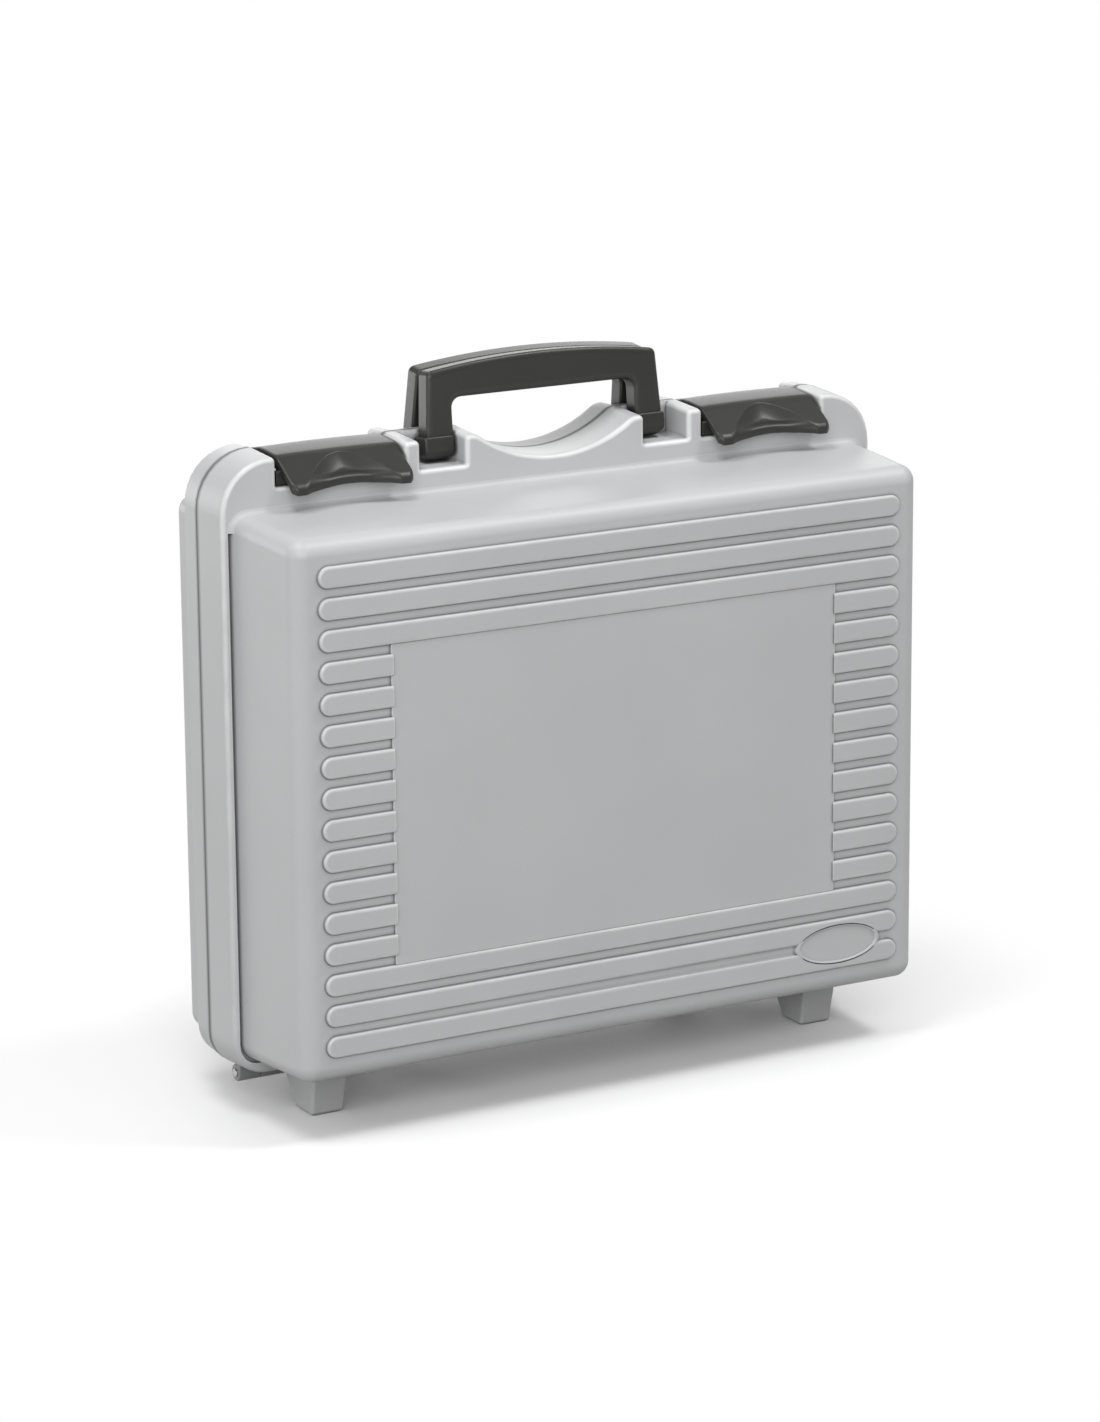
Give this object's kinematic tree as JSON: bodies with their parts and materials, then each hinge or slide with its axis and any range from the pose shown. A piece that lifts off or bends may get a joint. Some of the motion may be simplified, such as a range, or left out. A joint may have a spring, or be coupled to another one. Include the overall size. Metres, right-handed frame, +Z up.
{
  "type": "plastic carrying case",
  "caption": "Upright moulded carrying case with a ribbed panel, a raised rim, latches over the top ridge, a two-part folding handle and a hinge along the bottom.",
  "frame": {"origin": "on the floor under the middle of the case's bounding box", "axes": "+X to the right seen from the ribbed front panel, +Y from the front panel to the rear panel, +Z up"},
  "size_m": [0.352, 0.124, 0.3453],
  "materials": {
    "shell": "fine matte grain, silver-grey",
    "fittings": "satin black",
    "steel": "plain drawn steel"
  },
  "bodies": {
    "front": {"front_shell": "shell", "hinge_rod_left": "steel", "hinge_rod_right": "steel"},
    "lid": {"rear_shell": "shell", "latch_pin_left": "steel", "latch_pin_right": "steel"},
    "latch_l": {"latch_left": "fittings"},
    "latch_r": {"latch_right": "fittings"},
    "handle_front": {"front_handle": "fittings"},
    "handle_rear": {"rear_handle": "fittings"}
  },
  "joints": [
    {"name": "lid_hinge", "type": "hinge", "parent": "front", "child": "lid", "pos_m": [0, 0.02025, 0.0134], "axis": [-1, 0, 0], "range_deg": [0, 145]},
    {"name": "latch_left_hinge", "type": "hinge", "parent": "lid", "child": "latch_l", "pos_m": [-0.11325, 0.02725, 0.306], "axis": [-1, 0, 0], "range_deg": [0, 110]},
    {"name": "latch_right_hinge", "type": "hinge", "parent": "lid", "child": "latch_r", "pos_m": [0.11325, 0.02725, 0.306], "axis": [-1, 0, 0], "range_deg": [0, 110]},
    {"name": "front_handle_hinge", "type": "hinge", "parent": "front", "child": "handle_front", "pos_m": [0, 0.01125, 0.30425], "axis": [1, 0, 0], "range_deg": [0, 95]},
    {"name": "rear_handle_hinge", "type": "hinge", "parent": "lid", "child": "handle_rear", "pos_m": [0, 0.02925, 0.30425], "axis": [-1, 0, 0], "range_deg": [0, 95]}
  ]
}
